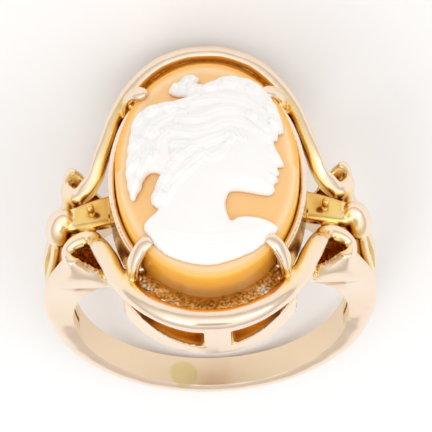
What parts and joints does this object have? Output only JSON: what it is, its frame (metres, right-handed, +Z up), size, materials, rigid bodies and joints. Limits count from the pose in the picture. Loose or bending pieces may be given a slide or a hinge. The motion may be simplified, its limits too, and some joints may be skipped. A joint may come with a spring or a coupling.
{
  "type": "cameo ring",
  "caption": "Finger ring lying on its side: split shoulders with scrolls carry an oval frame round a carved oval shell cameo of a lady's head held by claws.",
  "frame": {"origin": "Centre of the finger hole, on its axis, halfway between the two ends of the ring's head. The surface that the ring lies on is 4.48 mm below it.", "axes": "+Z is up from the surface that the ring lies on. The axis of the finger hole leans 25.2 degrees from +Z towards +Y. The cameo faces -Y and upwards, and the ring is the same on -X and +X apart from the carving."},
  "size_m": [0.019, 0.0236, 0.0179],
  "materials": {
    "pale_gold": "Polished pale rose-yellow gold alloy, lightly worn, with darker corners",
    "shell_ground": "Peach to orange layer of a shell, satin polish, slightly translucent",
    "shell_relief": "White carved layer of a shell, satin, thin edges pinkish"
  },
  "bodies": {
    "root": {"gold_mount": "pale_gold", "cameo_ground": "shell_ground", "cameo_relief": "shell_relief"}
  },
  "joints": []
}
